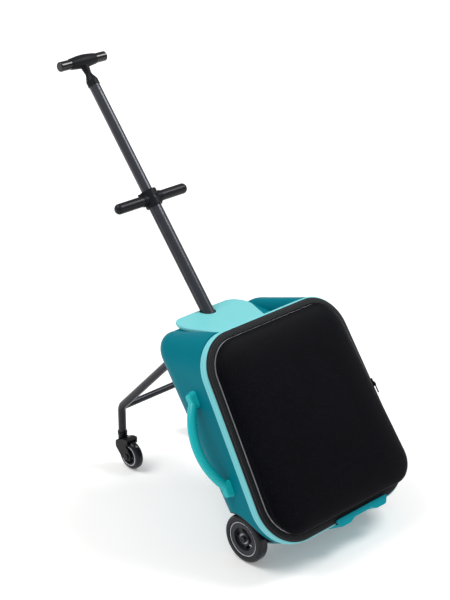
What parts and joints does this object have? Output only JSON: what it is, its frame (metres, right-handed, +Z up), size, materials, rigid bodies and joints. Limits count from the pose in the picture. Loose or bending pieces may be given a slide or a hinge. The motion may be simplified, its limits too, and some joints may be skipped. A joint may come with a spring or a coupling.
{
  "type": "ride on suitcase",
  "caption": "Wedge shaped hard cabin case with a padded zip lid and seat, rolling on rear wheels and fold-out front casters, with a telescopic pole, handlebar and tow handle.",
  "frame": {"origin": "middle of the bounding footprint, on the floor", "axes": "+X across the case to the rider's right, +Y in the riding direction, +Z up"},
  "size_m": [0.4373, 0.8124, 0.8366],
  "materials": {
    "teal_shell": "satin moulded plastic",
    "turquoise_trim": "satin moulded plastic",
    "turquoise_seat": "satin moulded plastic",
    "turquoise_handle": "gloss moulded plastic",
    "teal_foot": "satin moulded plastic",
    "dark_plastic": "fine texture",
    "gloss_dark_plastic": "polished",
    "zip_fabric": "woven tape",
    "lid_fabric": "padded woven cover",
    "grey_piping": "corded edge",
    "dark_tube": "dark anodised",
    "steel": "zinc plated",
    "dark_tyre": "smooth",
    "grey_hub": "moulded"
  },
  "bodies": {
    "case": {"shell": "teal_shell", "rim_trim": "turquoise_trim", "zip_band": "zip_fabric", "seat_plate": "turquoise_seat", "seat_screws": "steel", "carry_cap_upper": "turquoise_handle", "carry_cap_lower": "turquoise_handle", "carry_grip": "turquoise_handle", "carry_screws": "steel", "stand_foot": "teal_foot", "foot_screws": "steel", "wheel_housing_left": "dark_plastic", "wheel_housing_right": "dark_plastic", "axle_bolts": "steel", "leg_bracket_left": "dark_tube", "leg_bracket_right": "dark_tube", "leg_pins": "steel", "bracket_screws": "steel", "pole_guide": "dark_tube", "guide_bush": "dark_plastic", "guide_plug": "dark_plastic", "zip_slider": "steel"},
    "lid": {"lid_panel": "lid_fabric", "lid_piping": "grey_piping", "lid_liner": "lid_fabric"},
    "zip_tab": {"zip_pull": "steel"},
    "lower_pole": {"lower_tube": "dark_tube", "lower_tube_foot": "dark_plastic", "tube_bush": "dark_plastic", "tube_rivet": "steel", "handlebar_collar": "dark_plastic", "collar_screw": "steel", "handlebar_left": "gloss_dark_plastic", "handlebar_right": "gloss_dark_plastic"},
    "button": {"release_button": "dark_plastic"},
    "tow_pole": {"upper_tube": "dark_tube", "upper_tube_foot": "dark_plastic", "handle_neck": "dark_plastic", "handle_core": "dark_plastic", "tow_grip_left": "gloss_dark_plastic", "tow_grip_right": "gloss_dark_plastic", "neck_screws": "steel"},
    "leg_frame": {"leg_tube_left": "dark_tube", "leg_tube_right": "dark_tube", "cross_brace": "dark_tube", "caster_stems": "steel"},
    "caster_left": {"caster_fork_left": "dark_plastic", "caster_axle_left": "steel"},
    "caster_wheel_left": {"caster_tyre_left": "dark_tyre", "caster_hub_left": "grey_hub"},
    "rear_wheel_left": {"rear_tyre_left": "dark_tyre", "rear_hub_left": "grey_hub", "rear_bearings_left": "steel"},
    "caster_right": {"caster_fork_right": "dark_plastic", "caster_axle_right": "steel"},
    "caster_wheel_right": {"caster_tyre_right": "dark_tyre", "caster_hub_right": "grey_hub"},
    "rear_wheel_right": {"rear_tyre_right": "dark_tyre", "rear_hub_right": "grey_hub", "rear_bearings_right": "steel"}
  },
  "joints": [
    {"name": "lid_hinge", "type": "hinge", "parent": "case", "child": "lid", "pos_m": [0.01631, -0.3906, 0.08306], "axis": [1, 0, 0], "range_deg": [0, 85]},
    {"name": "zip_pull_flap", "type": "hinge", "parent": "case", "child": "zip_tab", "pos_m": [0.21132, -0.28034, 0.24963], "axis": [0.7558, 0.5641, -0.3325], "range_deg": [-120, 0]},
    {"name": "lower_pole_slide", "type": "slide", "parent": "case", "child": "lower_pole", "axis": [0, 0.6517, 0.7585], "range_m": [-0.225, 0]},
    {"name": "tow_pole_slide", "type": "slide", "parent": "lower_pole", "child": "tow_pole", "axis": [0, 0.6517, 0.7585], "range_m": [-0.245, 0]},
    {"name": "release_press", "type": "slide", "parent": "lower_pole", "child": "button", "axis": [1, 0, 0], "range_m": [0, 0.003], "stiffness_N_per_m": 600, "springref_m": -0.001},
    {"name": "leg_fold", "type": "hinge", "parent": "case", "child": "leg_frame", "pos_m": [0.01631, -0.00644, 0.31211], "axis": [1, 0, 0], "range_deg": [-62, 0]},
    {"name": "caster_swivel_left", "type": "hinge", "parent": "leg_frame", "child": "caster_left", "pos_m": [-0.09369, 0.16114, 0.079], "axis": [0, 0, 1], "continuous": true},
    {"name": "caster_roll_left", "type": "hinge", "parent": "caster_left", "child": "caster_wheel_left", "pos_m": [-0.09369, 0.13314, 0.032], "axis": [1, 0, 0], "continuous": true},
    {"name": "rear_roll_left", "type": "hinge", "parent": "case", "child": "rear_wheel_left", "pos_m": [-0.15769, -0.28786, 0.05], "axis": [1, 0, 0], "continuous": true},
    {"name": "caster_swivel_right", "type": "hinge", "parent": "leg_frame", "child": "caster_right", "pos_m": [0.12631, 0.16114, 0.079], "axis": [0, 0, 1], "continuous": true},
    {"name": "caster_roll_right", "type": "hinge", "parent": "caster_right", "child": "caster_wheel_right", "pos_m": [0.12631, 0.13314, 0.032], "axis": [1, 0, 0], "continuous": true},
    {"name": "rear_roll_right", "type": "hinge", "parent": "case", "child": "rear_wheel_right", "pos_m": [0.19031, -0.28786, 0.05], "axis": [1, 0, 0], "continuous": true}
  ]
}
